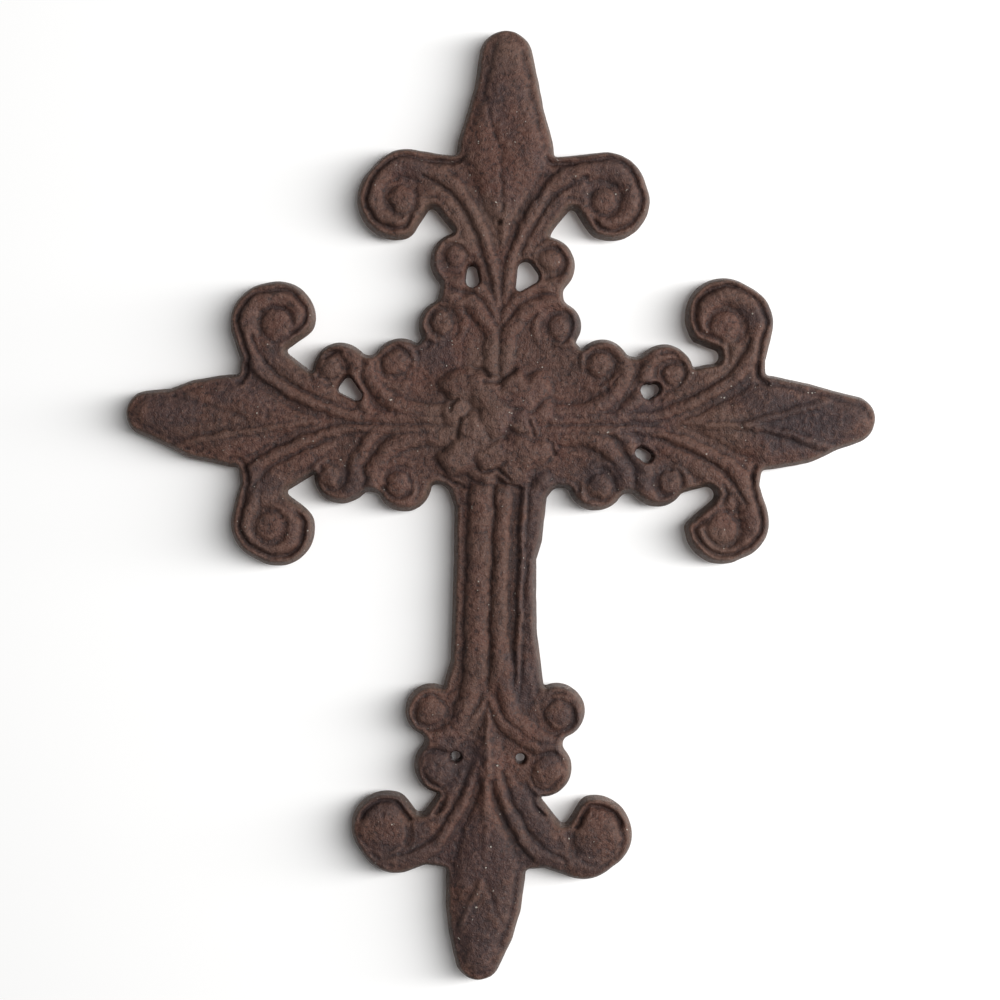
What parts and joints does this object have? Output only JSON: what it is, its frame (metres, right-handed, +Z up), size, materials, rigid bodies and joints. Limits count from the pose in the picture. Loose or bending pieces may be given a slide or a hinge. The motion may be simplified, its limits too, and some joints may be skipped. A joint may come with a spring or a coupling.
{
  "type": "wall cross",
  "caption": "Flat-backed cast-iron wall cross in low relief, with fleur-de-lis arm ends, pierced scrollwork, a fluted shaft and a rosette at the crossing.",
  "frame": {"origin": "on the flat back, behind the point where the middles of the arms meet", "axes": "+Y points out of the flat back into the wall, so the relief faces -Y; +Z is up the long shaft towards the top arm; +X is to the right seen from the front"},
  "size_m": [0.2395, 0.0095, 0.3034],
  "materials": {
    "cast_iron": "rust-brown sand-cast iron, matt and grainy, darker in the crevices"
  },
  "bodies": {
    "root": {"wall_cross": "cast_iron"}
  },
  "joints": []
}
